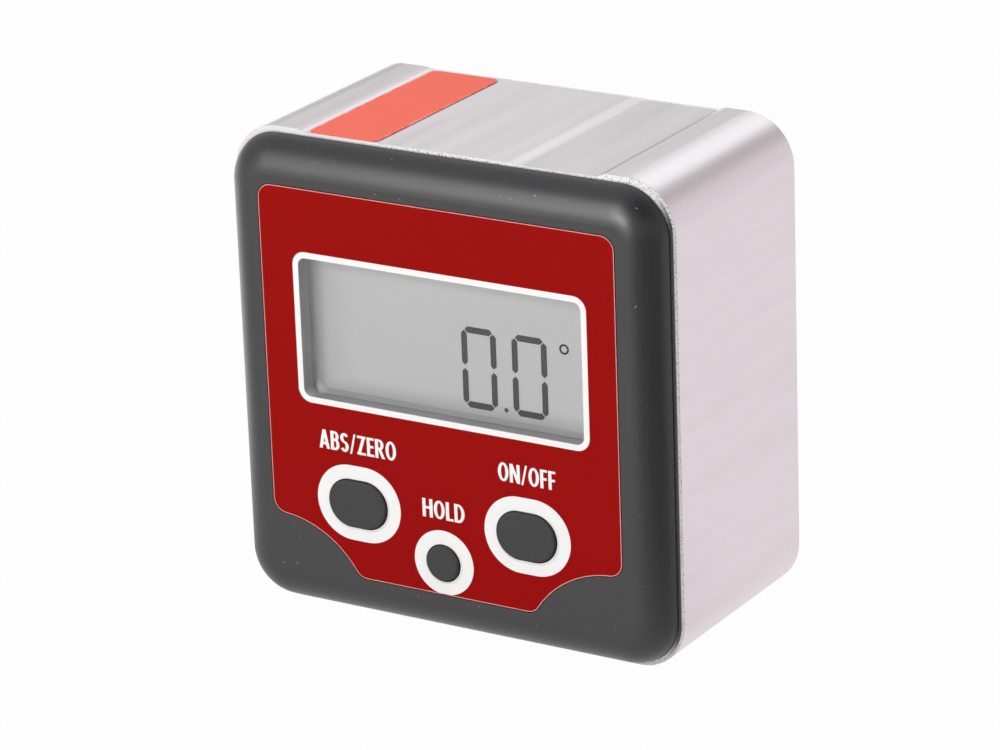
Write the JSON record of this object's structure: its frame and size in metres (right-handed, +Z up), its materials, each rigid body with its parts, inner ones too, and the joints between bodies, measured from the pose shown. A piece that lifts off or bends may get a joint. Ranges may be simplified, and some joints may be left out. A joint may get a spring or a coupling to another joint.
{
  "type": "digital angle gauge",
  "caption": "Square pocket angle gauge with an aluminium tube body, magnetic base, rounded plastic covers, display window, push keys and a sliding battery door.",
  "frame": {"origin": "middle of the base face, at the centre of the whole object's footprint", "axes": "+X to the right as the display is read, +Y from the display to the back, +Z up from the magnetic base"},
  "size_m": [0.06, 0.0362, 0.06],
  "materials": {
    "housing_aluminium": "fine brushed and clear anodised",
    "cover_plastic": "fine matt texture",
    "fascia_sheet": "satin printed sheet",
    "clear_pane": "clear",
    "frame_plastic": "matt",
    "lcd_glass": "satin grey",
    "strip_rubber": "matt",
    "board": "solder mask",
    "screw_steel": "plated",
    "key_rubber": "matt",
    "switch_plastic": "matt",
    "chip_plastic": "matt",
    "can_steel": "plain",
    "capacitor_ceramic": "matt",
    "cell_sleeve": "printed sleeve",
    "contact_nickel": "nickel plated",
    "lead_red": "plain",
    "lead_black": "plain",
    "magnet_nickel": "nickel plated",
    "sticker": "satin sticker"
  },
  "bodies": {
    "case": {"housing": "housing_aluminium", "front_cover": "cover_plastic", "fascia_overlay": "fascia_sheet", "display_window": "clear_pane", "lcd_frame": "frame_plastic", "lcd_panel": "lcd_glass", "contact_strip_upper": "strip_rubber", "contact_strip_lower": "strip_rubber", "main_pcb": "board", "pcb_screws": "screw_steel", "switch_abs_zero": "switch_plastic", "switch_hold": "switch_plastic", "switch_on_off": "switch_plastic", "controller_chip": "chip_plastic", "tilt_sensor": "chip_plastic", "crystal_can": "can_steel", "chip_capacitors": "capacitor_ceramic", "rear_cover": "cover_plastic", "case_screws": "screw_steel", "cell_upper": "cell_sleeve", "cell_lower": "cell_sleeve", "contact_jumper": "contact_nickel", "contact_positive": "contact_nickel", "contact_negative": "contact_nickel", "spring_upper": "contact_nickel", "spring_lower": "contact_nickel", "lead_positive": "lead_red", "lead_negative": "lead_black", "magnet_left": "magnet_nickel", "magnet_middle": "magnet_nickel", "magnet_right": "magnet_nickel", "top_label": "sticker"},
    "abs_zero_button": {"key_abs_zero": "key_rubber", "plunger_abs_zero": "switch_plastic"},
    "hold_button": {"key_hold": "key_rubber", "plunger_hold": "switch_plastic"},
    "on_off_button": {"key_on_off": "key_rubber", "plunger_on_off": "switch_plastic"},
    "door": {"battery_door": "cover_plastic"}
  },
  "joints": [
    {"name": "abs_zero_press", "type": "slide", "parent": "case", "child": "abs_zero_button", "axis": [0, 1, 0], "range_m": [0, 0.0003], "stiffness_N_per_m": 800, "springref_m": -0.001},
    {"name": "hold_press", "type": "slide", "parent": "case", "child": "hold_button", "axis": [0, 1, 0], "range_m": [0, 0.0003], "stiffness_N_per_m": 800, "springref_m": -0.001},
    {"name": "on_off_press", "type": "slide", "parent": "case", "child": "on_off_button", "axis": [0, 1, 0], "range_m": [0, 0.0003], "stiffness_N_per_m": 800, "springref_m": -0.001},
    {"name": "door_slide", "type": "slide", "parent": "case", "child": "door", "axis": [1, 0, 0], "range_m": [0, 0.052]}
  ]
}
